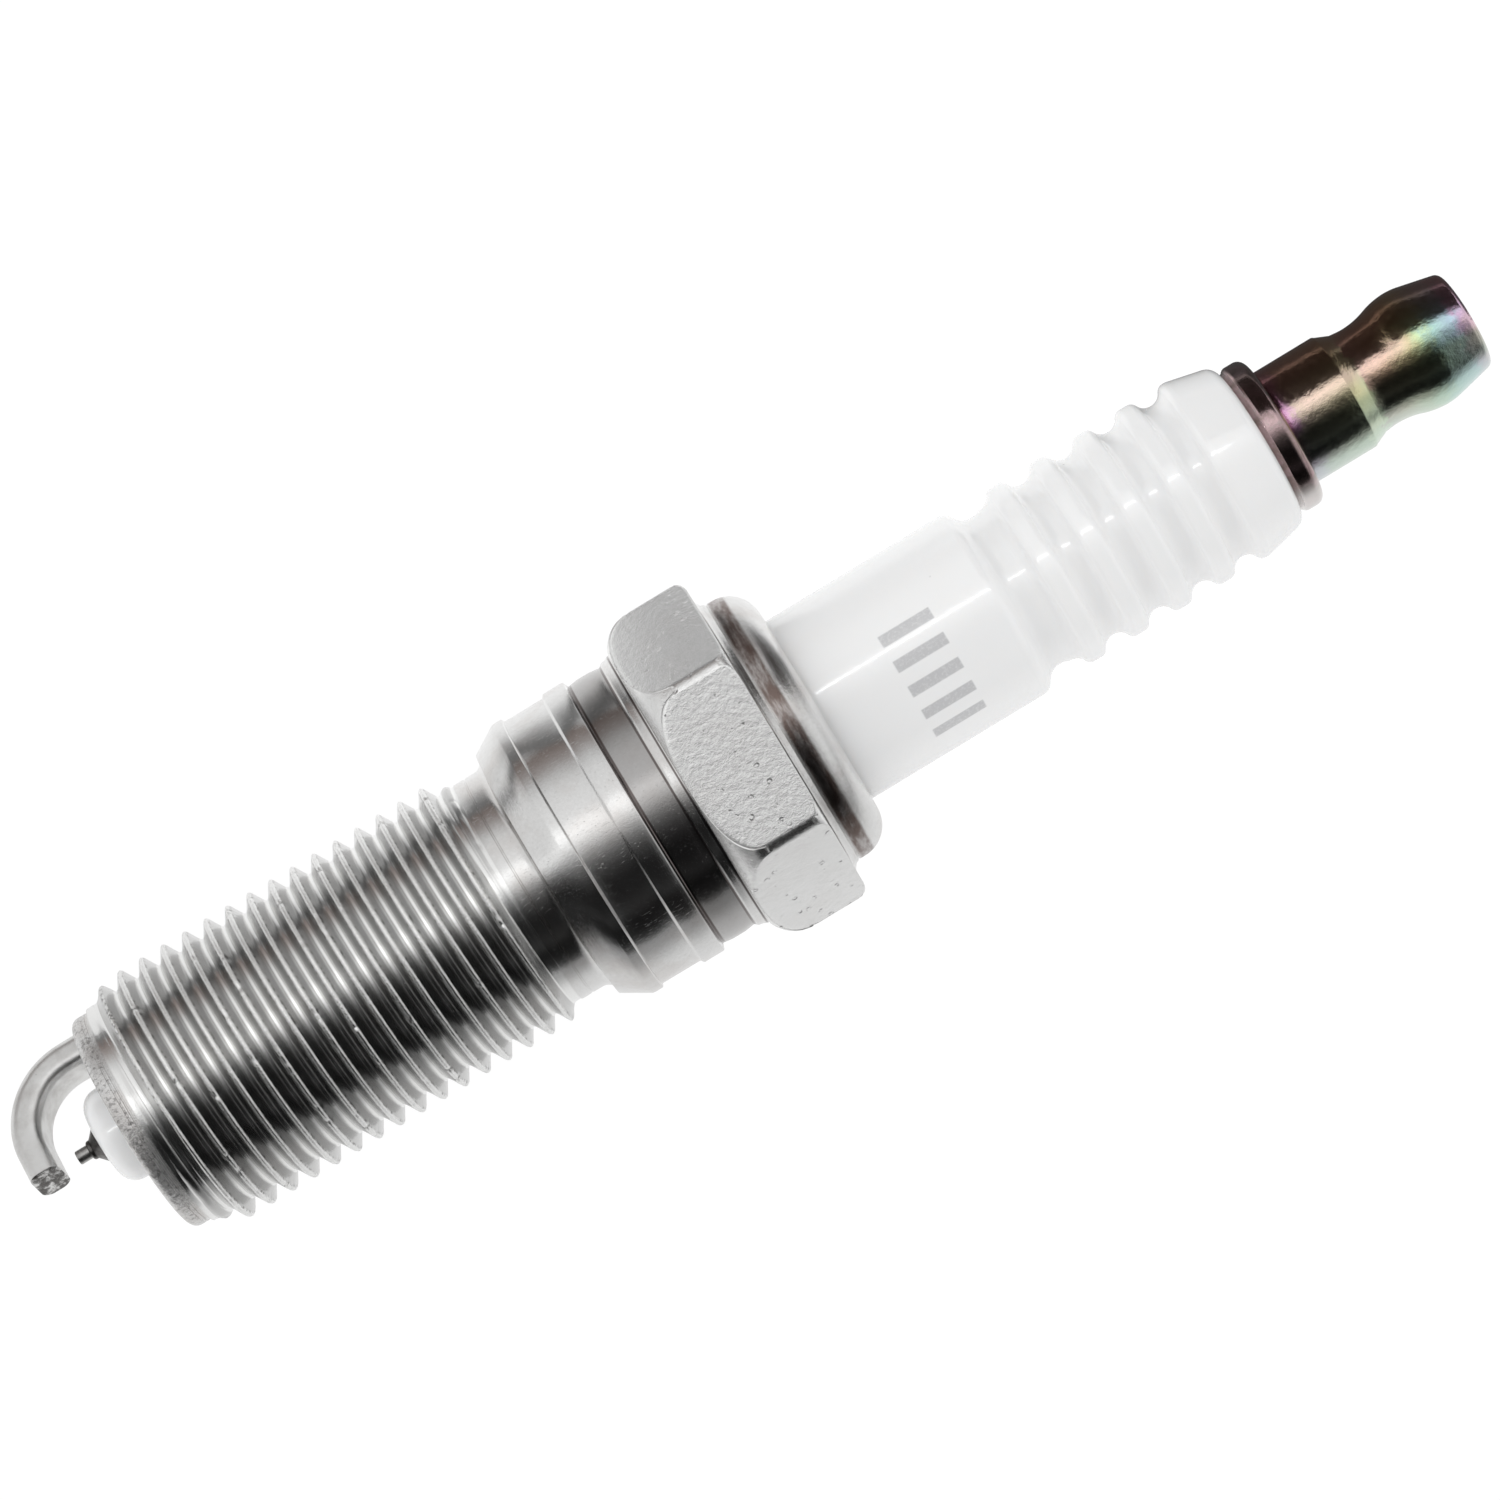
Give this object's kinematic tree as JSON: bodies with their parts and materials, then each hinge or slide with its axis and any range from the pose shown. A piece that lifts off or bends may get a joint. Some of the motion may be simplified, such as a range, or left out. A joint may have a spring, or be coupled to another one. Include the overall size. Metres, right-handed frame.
{
  "type": "spark plug",
  "caption": "Long-reach spark plug with conical seat, hex shell, ribbed white insulator, fine-wire centre electrode, hooked ground strap and a screw-on terminal nut.",
  "frame": {"origin": "on the plug's axis, in the gauge plane of the conical seat, where the cone is 14.8 mm across", "axes": "+X along the plug's axis towards the terminal, +Z square to the hex flat that is uppermost when the plug lies on a flat, +Y to the left when looking along +X"},
  "size_m": [0.0833, 0.0182, 0.0158],
  "materials": {
    "plated_steel": "bright plated steel, satin, with nicked thread crests",
    "white_ceramic": "glossy white glazed alumina",
    "packing_steel": "plain steel",
    "talc": "pressed talc powder",
    "stud_steel": "brown-tinted plated steel",
    "seal_glass": "dark metal-filled fused glass",
    "resistor_carbon": "dull carbon and glass mix",
    "dark_nickel": "dark nickel alloy",
    "copper": "copper",
    "iridium": "drawn iridium alloy, satin grey",
    "electrode_nickel": "satin nickel alloy",
    "yellow_zinc": "iridescent yellow-passivated zinc plate"
  },
  "bodies": {
    "plug": {"shell": "plated_steel", "insulator": "white_ceramic", "seat_packing_ring": "packing_steel", "lower_crimp_ring": "packing_steel", "talc_fill": "talc", "upper_crimp_ring": "packing_steel", "terminal_stud": "stud_steel", "upper_glass_seal": "seal_glass", "resistor": "resistor_carbon", "lower_glass_seal": "seal_glass", "centre_electrode": "dark_nickel", "electrode_core": "copper", "tip_weld": "dark_nickel", "fine_wire": "iridium", "ground_electrode": "electrode_nickel"},
    "nut": {"terminal_nut": "yellow_zinc"}
  },
  "joints": [
    {"name": "terminal_nut_off", "type": "slide", "parent": "plug", "child": "nut", "axis": [1, 0, 0], "range_m": [0, 0.012]}
  ]
}
